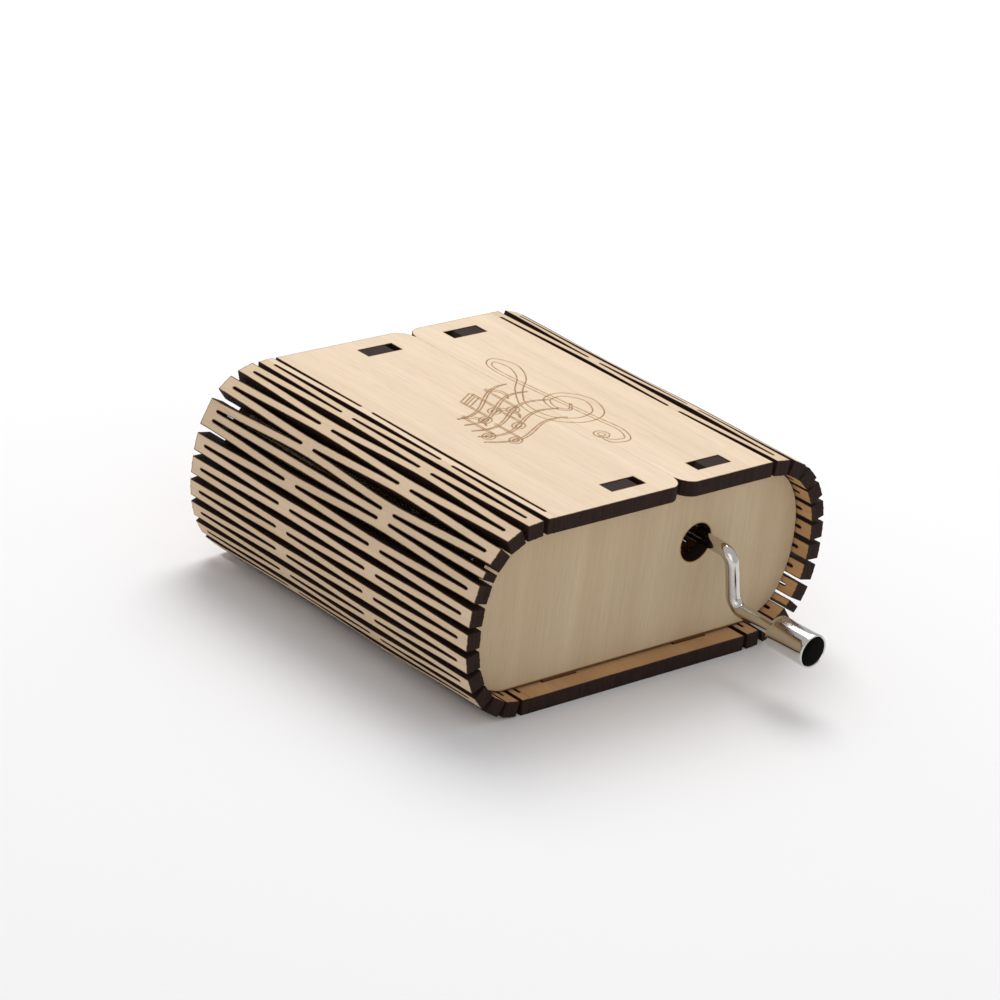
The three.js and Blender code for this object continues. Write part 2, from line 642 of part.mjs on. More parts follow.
function addMovement() {
  add("movement_bedplate", bedplate(), MATERIALS.casting);
  ["front", "back"].forEach((end, k) => {
    const screw = slottedScrew(...BED_SCREWS[k], BED_TOP, BED_SCREW);
    add(`movement_screw_${end}`, screw, MATERIALS.steel);
  });
  add("worm_bracket", wormBracket(), MATERIALS.steel);
  for (const [end, y] of Object.entries(BRACKET_SCREWS)) {
    const screw = slottedScrew(CRANK_AXIS.x, y, BRACKET_TOP, BRACKET_SCREW);
    add(`worm_bracket_screw_${end}`, screw, MATERIALS.steel);
  }
  add("tone_comb", comb(), MATERIALS.steel);
  for (const [end, side] of [["left", -1], ["right", 1]]) {
    const x = NOTES_MIDDLE + side * COMB_SCREW_OFFSET;
    const screw = slottedScrew(x, COMB_SCREW_Y, COMB.z + COMB.thickness, COMB_SCREW);
    add(`comb_screw_${end}`, screw, MATERIALS.steel);
  }
  add("pinned_drum", drum(), MATERIALS.brass);
  add("drum_cap_left", drumCap(CYLINDER.left + 0.3, CYLINDER.left + 1.5), MATERIALS.brass);
  add("drum_cap_right", drumCap(CYLINDER.right - 1.5, CYLINDER.right - 0.3), MATERIALS.brass);
  add("drum_arbor", bar("x", ARBOR.radius, ARBOR.left, ARBOR.right, CYLINDER, 16), MATERIALS.steel);
  add("worm_wheel", wormWheel(), MATERIALS.brass);
  add("worm", worm(), MATERIALS.brass);
}

function addCrank() {
  add("crank_rod", crankRod(), MATERIALS.nickel);
  add("crank_knob", crankKnob(), MATERIALS.nickel);
}

addCase();
addMovement();
addCrank();

export default model;
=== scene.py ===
import json
import math
import random

import bmesh
import bpy
import numpy as np
from mathutils import Matrix, Vector


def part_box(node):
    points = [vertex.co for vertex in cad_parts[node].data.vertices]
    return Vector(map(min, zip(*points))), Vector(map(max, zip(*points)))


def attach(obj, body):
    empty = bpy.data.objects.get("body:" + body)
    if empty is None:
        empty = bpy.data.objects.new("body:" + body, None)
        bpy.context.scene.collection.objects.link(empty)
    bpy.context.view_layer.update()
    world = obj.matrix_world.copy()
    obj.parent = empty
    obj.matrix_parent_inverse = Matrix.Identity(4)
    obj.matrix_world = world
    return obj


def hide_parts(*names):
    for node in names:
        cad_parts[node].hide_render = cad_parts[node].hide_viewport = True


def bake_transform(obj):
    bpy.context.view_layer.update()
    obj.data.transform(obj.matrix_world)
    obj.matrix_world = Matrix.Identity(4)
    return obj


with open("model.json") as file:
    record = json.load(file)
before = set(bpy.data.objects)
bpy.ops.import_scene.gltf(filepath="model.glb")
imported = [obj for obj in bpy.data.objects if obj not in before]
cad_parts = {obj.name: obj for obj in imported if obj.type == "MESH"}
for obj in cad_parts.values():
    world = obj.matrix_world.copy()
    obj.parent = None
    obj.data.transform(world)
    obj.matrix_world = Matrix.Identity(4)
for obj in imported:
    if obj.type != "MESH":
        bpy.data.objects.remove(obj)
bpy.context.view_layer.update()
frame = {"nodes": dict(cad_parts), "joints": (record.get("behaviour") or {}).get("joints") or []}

# Looks of the hand-crank music box. Lengths are millimetres until MM turns them into metres.
MM = 0.001
random.seed(7)

# ---- Dimensions -----------------------------------------------------------------------------

# Slit width inside a strip, and the wider row between two strips.
KERF = 0.35
HINGE_GAP = 1.0

# Rounding of a cut edge, the width of its scorch band, and the burnt length at a ribbon's tip.
EDGE_ROUND = 0.06
SCORCH = 0.30
RIBBON_END = 0.1

# Stations along the slit rows, measured from the case's front end. Back-cut rows are bridged by the
# first pair of bridges, front-cut rows by the second. The ribbons twist between them.
LENGTH = 77.4
BACK_ROW_BRIDGES = ((0.0, 2.7), (49.5, 52.6))
FRONT_ROW_BRIDGES = ((25.0, 28.0), (74.8, LENGTH))
FREE_STATIONS = (7.0, 12.0, 18.0, 33.0, 38.0, 44.0, 57.0, 62.0, 68.0)

# The strip of each hinge that is one ribbon wide, and the way each side faces along X.
NARROW_STRIPS = {"left": 9, "right": 4}
SIDES = {"left": -1, "right": 1}

SEAM_CORNER = 3.5
SLOT = (8.2, 3.2)
SLOT_Y = 33.3
TOP_TAB_OFFSET = 10.7
BOTTOM_TAB_X = 16.3
SEAM_GAP = 0.04

GROOVE_DEPTH = 0.10
GROOVE_HALF = 0.15
CLEF_PLACE = np.array((9.0, -0.5))
STAFF_FOOT = -8.0

# The crank hole's centre, as X and Z, and its radius.
CRANK_HOLE = (14.05, 23.2)
CRANK_HOLE_RADIUS = 3.8
ROD_RADIUS = 1.32
BEND_RADIUS = 2.6
ARM_Y = -41.8

DRUM_RADIUS = 6.5
DRUM_WALL = 0.8
PIN_PITCH = 1.4
NOTES = 18
PINS_PER_NOTE = 9


def corners(node):
    """A CAD node's lowest and highest corners, in millimetres."""
    low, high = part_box(node)
    return Vector(low) / MM, Vector(high) / MM


JOINTS = {joint["name"]: joint for joint in frame["joints"]}
PANEL_LOW, PANEL_HIGH = corners("bottom_panel")
SHEET = PANEL_HIGH.z - PANEL_LOW.z
FRONT = PANEL_LOW.y
TOP = corners("left_cover")[1].z
SEAM_X = (corners("left_cover")[1].x + corners("right_cover")[0].x) / 2


def joint_point(name):
    """A point on a joint's axis, in millimetres."""
    return Vector(JOINTS[name]["pos_m"]) / MM


# ---- Material helpers -----------------------------------------------------------------------


class Nodes:
    """Short calls for a material's node tree."""

    def __init__(self, name):
        self.material = bpy.data.materials.new(name)
        self.material.use_nodes = True
        self.tree = self.material.node_tree
        self.shader = self.tree.nodes["Principled BSDF"]

    def add(self, kind, inputs=(), **settings):
        node = self.tree.nodes.new(kind)
        for key, value in settings.items():
            setattr(node, key, value)
        for key, value in dict(inputs).items():
            self.feed(value, node.inputs[key])
        return node

    def feed(self, value, socket):
        if isinstance(value, bpy.types.NodeSocket):
            self.tree.links.new(value, socket)
        else:
            socket.default_value = value

    def place(self, scale):
        """Position in the part's frame, in metres, stretched by scale."""
        position = self.add("ShaderNodeTexCoord").outputs["Object"]
        mapping = self.add("ShaderNodeMapping", {"Vector": position, "Scale": scale})
        return mapping.outputs["Vector"]

    def noise(self, scale, detail=3.0, roughness=0.55, distortion=0.0):
        inputs = {"Vector": self.place(scale), "Scale": 1.0, "Detail": detail,
                  "Roughness": roughness, "Distortion": distortion}
        return self.add("ShaderNodeTexNoise", inputs).outputs["Fac"]

    def ramp(self, value, stops):
        node = self.add("ShaderNodeValToRGB", {"Fac": value})
        elements = node.color_ramp.elements
        while len(elements) < len(stops):
            elements.new(0.5)
        for element, (position, colour) in zip(elements, stops):
            element.position = position
            element.color = colour if len(colour) == 4 else (*colour, 1.0)
        return node.outputs["Color"]

    def grey(self, value, low, high, start=0.0, end=1.0):
        return self.ramp(value, [(start, (low,) * 3), (end, (high,) * 3)])

    def fade(self, value, start, end, low, high):
        """From low to high as value goes from start to end, in its own units."""
        inputs = {"Value": value, "From Min": start, "From Max": end,
                  "To Min": low, "To Max": high}
        return self.add("ShaderNodeMapRange", inputs).outputs["Result"]

    def mix(self, factor, first, second, blend="MIX"):
        """The mix node's sockets 0, 6 and 7 are its factor and its two colours."""
        node = self.add("ShaderNodeMix", data_type="RGBA", blend_type=blend)
        self.feed(factor, node.inputs[0])
        self.feed(first, node.inputs[6])
        self.feed(second, node.inputs[7])
        return node.outputs[2]

    def maths(self, operation, first, second=0.0):
        node = self.add("ShaderNodeMath", operation=operation)
        self.feed(first, node.inputs[0])
        self.feed(second, node.inputs[1])
        return node.outputs[0]

    def bump(self, height, distance, strength=1.0):
        inputs = {"Height": height, "Distance": distance, "Strength": strength}
        self.feed(self.add("ShaderNodeBump", inputs).outputs["Normal"], self.shader.inputs["Normal"])

    def finish(self, colour, roughness, metallic=0.0):
        self.feed(colour, self.shader.inputs["Base Color"])
        self.feed(roughness, self.shader.inputs["Roughness"])
        self.shader.inputs["Metallic"].default_value = metallic
        return self.material


def rgba(red, green, blue):
    return (red, green, blue, 1.0)


# ---- Materials ------------------------------------------------------------------------------

GRAIN_ALONG_Y = (1.0, 0.045, 1.0)
GRAIN_ALONG_Z = (1.0, 1.0, 0.045)
CHAR = rgba(0.016, 0.0075, 0.0055)


def scaled(direction, factor):
    return tuple(value * factor for value in direction)


def wood_colour(nodes, grain, pale, dark, contrast):
    """Birch veneer: fibres, short pores and slow changes of tone. Also returns fibres and pores."""
    fibre = nodes.noise(scaled(grain, 1500), 4.0, 0.6)
    pores = nodes.noise(scaled(grain, 4200), 2.0, 0.5)
    tone = nodes.noise(scaled(grain, 190), 3.0, 0.5, 0.4)
    base = nodes.mix(nodes.grey(tone, 0.0, 1.0, 0.3, 0.7), rgba(*pale), rgba(*dark))
    fibres = nodes.grey(fibre, 1.0 - 0.14 * contrast, 1.0 + 0.06 * contrast, 0.25, 0.75)
    base = nodes.mix(1.0, base, fibres, "MULTIPLY")
    flecks = nodes.grey(pores, 1.0 - 0.16 * contrast, 1.0, 0.30, 0.44)
    return nodes.mix(1.0, base, flecks, "MULTIPLY"), fibre, pores


def veneer(name, grain, pale, dark):
    """Veneer face of the plywood, scorched where the mesh's burn attribute says so."""
    nodes = Nodes(name)
    base, fibre, pores = wood_colour(nodes, grain, pale, dark, contrast=0.6)
    burn = nodes.add("ShaderNodeAttribute", attribute_name="burn").outputs["Fac"]
    uneven = nodes.noise((900, 900, 900), 3.0, 0.6)
    uneven = nodes.maths("ADD", nodes.maths("MULTIPLY", uneven, 0.9), 0.55)
    amount = nodes.maths("MULTIPLY", burn, uneven)
    darkening_tint = nodes.ramp(amount, [(0.0, (1.0, 1.0, 1.0)), (0.30, (0.93, 0.83, 0.70)),
                                (0.62, (0.42, 0.29, 0.18)), (0.92, (0.05, 0.03, 0.024))])
    colour = nodes.mix(1.0, base, darkening_tint, "MULTIPLY")
    height = nodes.maths("ADD", fibre, nodes.maths("MULTIPLY", pores, 0.5))
    nodes.bump(height, 0.00006, 0.55)
    return nodes.finish(colour, nodes.grey(fibre, 0.62, 0.80))


def charred(name):
    """Laser-cut edge: near black, with upright streaks and the plies faintly lighter."""
    nodes = Nodes(name)
    streaks = nodes.noise((2600, 2600, 180), 3.0, 0.6)
    mottle = nodes.noise((500, 500, 500), 3.0, 0.6)
    colour = nodes.mix(nodes.grey(streaks, 0.0, 1.0, 0.35, 0.8), CHAR, rgba(0.034, 0.016, 0.0105))
    colour = nodes.mix(nodes.grey(mottle, 0.0, 0.45, 0.45, 0.8), colour, rgba(0.042, 0.024, 0.018))
    nodes.bump(streaks, 0.00008, 0.8)
    nodes.shader.inputs["Specular IOR Level"].default_value = 0.12
    return nodes.finish(colour, nodes.grey(mottle, 0.55, 0.85))


def end_plate_wood():
    """Veneer on the two broad faces, with painted shade in bands where the tabs' shoulders meet the
    bottom board and, lighter, the covers, char on every cut edge, and a scorched ring at the crank hole."""
    nodes = Nodes("end_plate_wood")
    base, fibre, pores = wood_colour(nodes, GRAIN_ALONG_Z, (0.60, 0.475, 0.31),
                                     (0.53, 0.405, 0.255), contrast=0.5)
    low, high = corners("front_end_plate")
    place = nodes.add("ShaderNodeTexCoord").outputs["Object"]
    split = nodes.add("ShaderNodeSeparateXYZ", {"Vector": place})
    flat = nodes.add("ShaderNodeCombineXYZ", {"X": split.outputs["X"], "Z": split.outputs["Z"]})
    rim = nodes.add("ShaderNodeVectorMath", operation="DISTANCE")
    nodes.feed(flat.outputs["Vector"], rim.inputs[0])
    rim.inputs[1].default_value = (CRANK_HOLE[0] * MM, 0.0, CRANK_HOLE[1] * MM)
    reach = CRANK_HOLE_RADIUS * MM
    ring = nodes.fade(rim.outputs["Value"], reach, reach + 0.3 * MM, 0.9, 0.0)
    on_front_plate = nodes.maths("LESS_THAN", split.outputs["Y"], 0.0)
    ring = nodes.maths("MULTIPLY", ring, on_front_plate)
    # Painted shade: a dark band along the joint with the bottom board, and a lighter one under the
    # covers' overhang.
    ledge = (low.z + SHEET) * MM
    painted_joint_shade = nodes.fade(split.outputs["Z"], ledge + 0.45 * MM, ledge + 0.75 * MM, 1.0, 0.0)
    ceiling = (high.z - SHEET) * MM
    painted_overhang_shade = nodes.fade(split.outputs["Z"], ceiling - 0.8 * MM, ceiling - 0.3 * MM, 0.0, 0.35)
    # The darkening joins the real scorch ring at the crank hole with the painted shade bands.
    darkening = nodes.maths("MAXIMUM", ring, nodes.maths("MAXIMUM", painted_joint_shade, painted_overhang_shade))
    darkening_tint = nodes.ramp(darkening, [(0.0, (1, 1, 1)), (0.5, (0.80, 0.62, 0.44)),
                                (1.0, (0.20, 0.12, 0.08))])
    face = nodes.mix(1.0, base, darkening_tint, "MULTIPLY")
    normal = nodes.add("ShaderNodeNewGeometry").outputs["True Normal"]
    across = nodes.add("ShaderNodeSeparateXYZ", {"Vector": normal}).outputs["Y"]
    edge = nodes.maths("LESS_THAN", nodes.maths("ABSOLUTE", across), 0.7)
    colour = nodes.mix(edge, face, rgba(0.020, 0.0095, 0.0065))
    nodes.shader.inputs["Specular IOR Level"].default_value = 0.2
    nodes.bump(nodes.maths("ADD", fibre, nodes.maths("MULTIPLY", pores, 0.5)), 0.00006, 0.5)
    return nodes.finish(colour, nodes.grey(fibre, 0.62, 0.80))


def plated(name, colour, roughness):
    """Polished plate with fine handling marks."""
    nodes = Nodes(name)
    marks = nodes.noise((2600, 700, 2600), 4.0, 0.6)
    haze = nodes.noise((260, 260, 260), 2.0, 0.5)
    tint = nodes.mix(nodes.grey(haze, 0.0, 1.0), rgba(*colour), rgba(*[0.9 * c for c in colour]))
    nodes.bump(marks, 0.00001, 0.35)
    return nodes.finish(tint, nodes.grey(marks, roughness * 0.75, roughness * 1.5, 0.3, 0.7), 1.0)


def bore_steel():
    """Near-black painted shade down the barrel's deep bore, standing in for the dark that the hollow
    shows.
    """
    nodes = Nodes("bore_steel")
    mottle = nodes.noise((1500, 1500, 1500), 3.0, 0.6)
    colour = nodes.mix(mottle, rgba(0.010, 0.010, 0.010), rgba(0.022, 0.020, 0.018))
    nodes.bump(mottle, 0.00003, 0.5)
    nodes.shader.inputs["Specular IOR Level"].default_value = 0.2
    return nodes.finish(colour, nodes.grey(mottle, 0.45, 0.65))


def machined(name, colour, roughness, grain):
    """Metal with a fine tool or grinding grain along one direction."""
    nodes = Nodes(name)
    lines = nodes.noise(grain, 3.0, 0.6)
    haze = nodes.noise((220, 220, 220), 3.0, 0.5)
    worn = rgba(*[0.8 * c for c in colour])
    tint = nodes.mix(nodes.grey(haze, 0.0, 1.0, 0.3, 0.7), rgba(*colour), worn)
    nodes.bump(lines, 0.00002, 0.5)
    return nodes.finish(tint, nodes.grey(lines, roughness * 0.8, roughness * 1.35), 1.0)


def casting_metal():
    """Die-cast zinc: satin, with a fine pebbled skin."""
    nodes = Nodes("casting_metal")
    pebble = nodes.noise((1600, 1600, 1600), 4.0, 0.6)
    haze = nodes.noise((140, 140, 140), 3.0, 0.5)
    tone = nodes.grey(haze, 0.0, 1.0, 0.3, 0.7)
    tint = nodes.mix(tone, rgba(0.46, 0.45, 0.43), rgba(0.36, 0.355, 0.345))
    nodes.bump(pebble, 0.00006, 0.6)
    return nodes.finish(tint, nodes.grey(pebble, 0.32, 0.52), 0.9)


def floor_paint():
    nodes = Nodes("floor_paint")
    tone = nodes.noise((6, 6, 6), 2.0, 0.5)
    colour = nodes.mix(tone, rgba(0.86, 0.86, 0.87), rgba(0.88, 0.88, 0.885))
    return nodes.finish(colour, 0.75)


COVER_WOOD = veneer("cover_veneer", GRAIN_ALONG_Y, (0.80, 0.645, 0.475), (0.735, 0.575, 0.405))
STRIP_WOOD = veneer("strip_veneer", GRAIN_ALONG_Y, (0.72, 0.55, 0.375), (0.64, 0.475, 0.31))
INNER_WOOD = veneer("inner_veneer", GRAIN_ALONG_Y, (0.60, 0.36, 0.17), (0.50, 0.29, 0.13))
CHARRED = charred("charred_edge")
END_WOOD = end_plate_wood()
NICKEL = plated("nickel_plate", (0.66, 0.64, 0.605), 0.10)
BORE_SHADE = bore_steel()
STEEL = machined("ground_steel", (0.50, 0.51, 0.52), 0.30, (3000, 200, 3000))
SCREW_STEEL = machined("screw_steel", (0.42, 0.43, 0.45), 0.28, (1500, 1500, 1500))
BRASS = machined("turned_brass", (0.72, 0.50, 0.19), 0.26, (3600, 500, 500))
CASTING = casting_metal()

# ---- Mesh helpers ---------------------------------------------------------------------------


def piece(name, points, faces, materials, indices=None, burn=None):
    """A mesh object from points in millimetres, with a material index a face and a burn a point."""
    mesh = bpy.data.meshes.new(name)
    mesh.from_pydata([tuple(float(c) * MM for c in point) for point in points], [], faces)
    for material in materials:
        mesh.materials.append(material)
    if indices is not None:
        mesh.polygons.foreach_set("material_index", np.asarray(indices, np.int32))
    if burn is not None:
        attribute = mesh.attributes.new("burn", "FLOAT", "POINT")
        attribute.data.foreach_set("value", np.asarray(burn, np.float32))
    mesh.update()
    item = bpy.data.objects.new(name, mesh)
    bpy.context.scene.collection.objects.link(item)
    return item


def joined(name, items):
    """Several mesh objects as one, keeping their attributes and materials."""
    with bpy.context.temp_override(active_object=items[0], object=items[0],
                                   selected_objects=items, selected_editable_objects=items):
        bpy.ops.object.join()
    items[0].name = name
    items[0].data.name = name
    return items[0]


def shade_smooth(item, angle=35.0):
    item.data.polygons.foreach_set("use_smooth", [True] * len(item.data.polygons))
    item.data.set_sharp_from_angle(angle=math.radians(angle))
    return item


def put(item, body, slot, *nodes):
    """Rides a piece on a body, in place of CAD nodes if any are named."""
    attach(item, body)
    if nodes:
        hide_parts(*nodes)
    return item


def inside(y, spans):
    return any(low - 1e-6 <= y <= high + 1e-6 for low, high in spans)


# ---- Living hinges --------------------------------------------------------------------------


def ribbon_stations():
    """Where a ribbon has a ring of points: its tips, the bridges' ends, and between."""
    marks = {0.0, RIBBON_END, SCORCH, LENGTH - SCORCH, LENGTH - RIBBON_END, LENGTH}
    for low, high in BACK_ROW_BRIDGES + FRONT_ROW_BRIDGES:
        marks |= {low, high, low - SCORCH, high + SCORCH, (low + high) / 2}
    marks |= set(FREE_STATIONS)
    return sorted(mark for mark in marks if 0.0 <= mark <= LENGTH)


STATIONS = ribbon_stations()


def front_row_share(y):
    """0 where back-cut rows are bridged, 1 where front-cut rows are, and linear between."""
    stops = [(span, 0.0) for span in BACK_ROW_BRIDGES] + [(span, 1.0) for span in FRONT_ROW_BRIDGES]
    ys, shares = [], []
    for (low, high), share in sorted(stops):
        ys += [low, high]
        shares += [share, share]
    return float(np.interp(y, ys, shares))


class Bend:
    """One living hinge: its lines, and the directions of its strips, from 0 at the bottom panel to
    pi at the cover. A hinge's members are its strips, the panel as -1 and the cover as the last."""

    def __init__(self, name):
        self.name = name
        self.side = SIDES[name]
        count = sum(1 for joint in JOINTS if joint.startswith(f"{name}_hinge_"))
        self.lines = [joint_point(f"{name}_hinge_{k:02d}") for k in range(1, count + 1)]
        self.strips = count - 1
        self.chords = [self.lines[k + 1] - self.lines[k] for k in range(self.strips)]
        self.turns = [math.atan2(chord.z, self.side * chord.x) for chord in self.chords]
        rows = 2 * self.strips - 1
        self.pitch = sum(chord.length for chord in self.chords) / rows
        self.ribbon_width = self.pitch - (HINGE_GAP + KERF) / 2

    @property
    def narrow(self):
        return NARROW_STRIPS[self.name] - 1

    def width(self, k):
        """Width of member k's ribbons. A panel keeps one beside the left hinge."""
        if 0 <= k < self.strips and k != self.narrow:
            return (self.chords[k].length - HINGE_GAP - KERF) / 2
        return self.ribbon_width

    def along(self, angle):
        return Vector((self.side * math.cos(angle), 0.0, math.sin(angle)))

    def outward(self, angle):
        return Vector((self.side * math.sin(angle), 0.0, -math.cos(angle)))

    def orientation(self, k):
        """Direction of member k."""
        if k < 0:
            return 0.0
        return self.turns[k] if k < self.strips else math.pi

    def stiff(self, k):
        """True where a neighbour can't twist: a panel with no edge ribbon, or the narrow strip."""
        if k == self.narrow:
            return True
        return self.side > 0 and not 0 <= k < self.strips

    def shared(self, k):
        """Direction that strips k and k + 1 share where the front-cut row between them is bridged."""
        if self.stiff(k):
            return self.orientation(k)
        if self.stiff(k + 1):
            return self.orientation(k + 1)
        return (self.orientation(k) + self.orientation(k + 1)) / 2


def ribbon(name, bend, still, bridged, width, front_row_side):
    """One ribbon of the lattice. It has the centre and angle of still where back-cut rows are
    bridged, and those of bridged where front-cut rows are. front_row_side is +1 or -1: the side
    its front-cut row is on, or 0 when both are."""
    v = SHEET / 2
    half = width / 2
    band = min(SCORCH, half * 0.6)
    rim = EDGE_ROUND
    profile = [(-half, -v + rim), (-half, v - rim), (-half + rim, v), (-half + band, v),
               (half - band, v), (half - rim, v), (half, v - rim), (half, -v + rim),
               (half - rim, -v), (half - band, -v), (-half + band, -v), (-half + rim, -v)]
    at_edge = [1, 1, 1, 0, 0, 1, 1, 1, 1, 0, 0, 1]
    points, burn = [], []
    for y in STATIONS:
        share = front_row_share(y)
        ease = share * share * (3 - 2 * share)
        centre = still[0].lerp(bridged[0], ease)
        angle = still[1] + (bridged[1] - still[1]) * share
        along, outward = bend.along(angle), bend.outward(angle)
        tip = y in (0.0, LENGTH)
        wobble = 0.0 if tip else random.uniform(-0.018, 0.018)
        for (u, w), edge in zip(profile, at_edge):
            u_at = u * (1 - rim / half if tip else 1.0) + (wobble if abs(u) == half else 0.0)
            w_at = w * (1 - rim / v if tip else 1.0)
            spot = centre + along * u_at + outward * w_at
            points.append((spot.x, FRONT + y, spot.z))
            on_front_row = front_row_side == 0 or (u > 0) == (front_row_side > 0)
            spans = FRONT_ROW_BRIDGES if on_front_row else BACK_ROW_BRIDGES
            burnt = edge and not inside(y, spans)
            burn.append(1.0 if burnt or y <= RIBBON_END or y >= LENGTH - RIBBON_END else 0.0)
    faces, indices = [], []
    count = len(profile)
    skin = {2: 0, 3: 0, 4: 0, 8: 2, 9: 2, 10: 2}
    for ring in range(len(STATIONS) - 1):
        for k in range(count):
            a, b = ring * count + k, ring * count + (k + 1) % count
            faces.append((a, b, b + count, a + count))
            indices.append(skin.get(k, 1))
    last = (len(STATIONS) - 1) * count
    faces.append(tuple(reversed(range(count))))
    faces.append(tuple(range(last, last + count)))
    indices += [1, 1]
    if bend.side > 0:
        faces = [tuple(reversed(face)) for face in faces]
    return piece(name, points, faces, [STRIP_WOOD, CHARRED, INNER_WOOD], indices, burn)


def bridge(name, bend, centre, angle, width, span):
    """Block of wood that fills a row between two ribbons, flush with both."""
    along, outward = bend.along(angle), bend.outward(angle)
    low, high = span
    half, v = width / 2 + EDGE_ROUND, SHEET / 2
    ys = [low, min(low + 0.25, high), max(high - 0.25, low), high]
    burn_at = [0.9, 0.0, 0.0, 0.9]
    points, burn = [], []
    for y, darkening in zip(ys, burn_at):
        for u, w in ((-half, v), (half, v), (half, -v), (-half, -v)):
            spot = centre + along * u + outward * w
            points.append((spot.x, FRONT + y, spot.z))
            burn.append(darkening)
    faces, indices = [(3, 2, 1, 0), (12, 13, 14, 15)], [1, 1]
    for ring in range(3):
        for k, skin in zip(range(4), (0, 1, 2, 1)):
            a, b = ring * 4 + k, ring * 4 + (k + 1) % 4
            faces.append((a, b, b + 4, a + 4))
            indices.append(skin)
    if bend.side > 0:
        faces = [tuple(reversed(face)) for face in faces]
    return piece(name, points, faces, [STRIP_WOOD, CHARRED, INNER_WOOD], indices, burn)


def still_places(bend, k):
    """Centre and angle of each ribbon of member k where back-cut rows are bridged."""
    angle = bend.orientation(k)
    along = bend.along(angle)
    if not 0 <= k < bend.strips:
        line = bend.lines[0] if k < 0 else bend.lines[-1]
        inward = along * (-1 if k < 0 else 1)
        return [(line + inward * ((HINGE_GAP + bend.ribbon_width) / 2), angle)]
    middle = bend.lines[k] + bend.chords[k] / 2
    if k == bend.narrow:
        return [(middle, angle)]
    reach = along * ((bend.width(k) + KERF) / 2)
    return [(middle - reach, angle), (middle + reach, angle)]


def bridged_place(bend, k, leaving):
    """Centre and angle of member k's ribbon beside a bridged front-cut row: the one it leaves by,
    towards the cover, or the one it is entered by."""
    row = k + 1 if leaving else k
    angle = bend.shared(row - 1)
    along = bend.along(angle) * (-1 if leaving else 1)
    other = k + 1 if leaving else k - 1
    if k == bend.narrow:
        return still_places(bend, k)[0]
    reach = (bend.width(k) + KERF) / 2
    if other == bend.narrow:
        middle = still_places(bend, other)[0][0]
        return middle + along * (bend.width(other) / 2 + KERF / 2 + reach), angle
    if bend.stiff(other):
        return bend.lines[row] + along * (reach + KERF / 2 - HINGE_GAP / 2), angle
    return bend.lines[row] + along * reach, angle


def hinge_strip(bend, k):
    """Strip k: its ribbons, and the ties across the back-cut row between them."""
    label = f"{bend.name}_strip_{k + 1:02d}"
    places = still_places(bend, k)
    width = bend.width(k)
    if k == bend.narrow:
        parts = [ribbon(label + "_ribbon", bend, places[0], places[0], width, 0)]
    else:
        parts = [
            ribbon(label + "_ribbon_a", bend, places[0], bridged_place(bend, k, False), width, -1),
            ribbon(label + "_ribbon_b", bend, places[1], bridged_place(bend, k, True), width, 1),
        ]
        middle = (places[0][0] + places[1][0]) / 2
        for n, span in enumerate(BACK_ROW_BRIDGES):
            parts.append(bridge(f"{label}_tie_{n}", bend, middle, places[0][1], KERF, span))
    put(joined(f"{label}_lattice", parts), label, "hinge_plywood", label)


def row_bridges(bend, k):
    """Bridges across the front-cut row between members k and k + 1, set at the direction that both share.
    """
    row = k + 1
    angle = bend.shared(k)
    along = bend.along(angle)
    if bend.stiff(k):
        entered = bridged_place(bend, k + 1, False)[0]
        middle = entered - along * ((bend.width(k + 1) + KERF) / 2)
    else:
        left_by = bridged_place(bend, k, True)[0]
        middle = left_by + along * ((bend.width(k) + KERF) / 2)
    parts = [bridge(f"{bend.name}_row_{row + 1:02d}_{n}", bend, middle, angle, KERF, span)
             for n, span in enumerate(FRONT_ROW_BRIDGES)]
    item = joined(f"{bend.name}_row_{row + 1:02d}_bridges", parts)
    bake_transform(item)


def body_name(bend, k):
    """The body that member k is part of."""
    if k < 0:
        return "root"
    return f"{bend.name}_strip_{k + 1:02d}" if k < bend.strips else f"{bend.name}_cover"


def edge_ribbon(bend, k):
    """The left hinge's outermost ribbons are part of the bottom panel and of the cover."""
    leaving = k < 0
    still = still_places(bend, k)[0]
    bridged = bridged_place(bend, k, leaving)
    width = bend.ribbon_width
    name = f"{bend.name}_{'foot' if leaving else 'cover'}_ribbon"
    side = 1 if leaving else -1
    parts = [ribbon(name + "_a", bend, still, bridged, width, side)]
    middle = still[0] - bend.along(still[1]) * (side * (width + KERF) / 2)
    for n, span in enumerate(BACK_ROW_BRIDGES):
        parts.append(bridge(f"{name}_tie_{n}", bend, middle, still[1], KERF, span))
    item = joined(name, parts)
    item.data.materials[0] = COVER_WOOD
    put(item, body_name(bend, k), "sheet_plywood")


def build_hinges():
    for name in SIDES:
        bend = Bend(name)
        for k in range(bend.strips):
            hinge_strip(bend, k)
        for k in range(-1, bend.strips):
            row_bridges(bend, k)
    left = Bend("left")
    for k in (-1, left.strips):
        edge_ribbon(left, k)


# ---- Engraving ------------------------------------------------------------------------------


def smooth_line(points, steps=14):
    """Catmull-Rom curve through the points."""
    points = [np.array(point, float) for point in points]
    points = [2 * points[0] - points[1], *points, 2 * points[-1] - points[-2]]
    line = []
    for a, b, c, d in zip(points, points[1:], points[2:], points[3:]):
        for k in range(steps):
            t = k / steps
            line.append(0.5 * (2 * b + (c - a) * t + (2 * a - 5 * b + 4 * c - d) * t ** 2
                               + (3 * b - a - 3 * c + d) * t ** 3))
    line.append(points[-2])
    return np.array(line)


def both_edges(line, widths):
    """The two outlines of a stroke that follows line, half of widths to each side."""
    tangent = np.gradient(line, axis=0)
    tangent /= np.linalg.norm(tangent, axis=1, keepdims=True)
    normal = np.stack([-tangent[:, 1], tangent[:, 0]], 1)
    reach = np.interp(np.linspace(0, 1, len(line)), *zip(*widths))[:, None] / 2
    return [line + normal * reach, line - normal * reach]


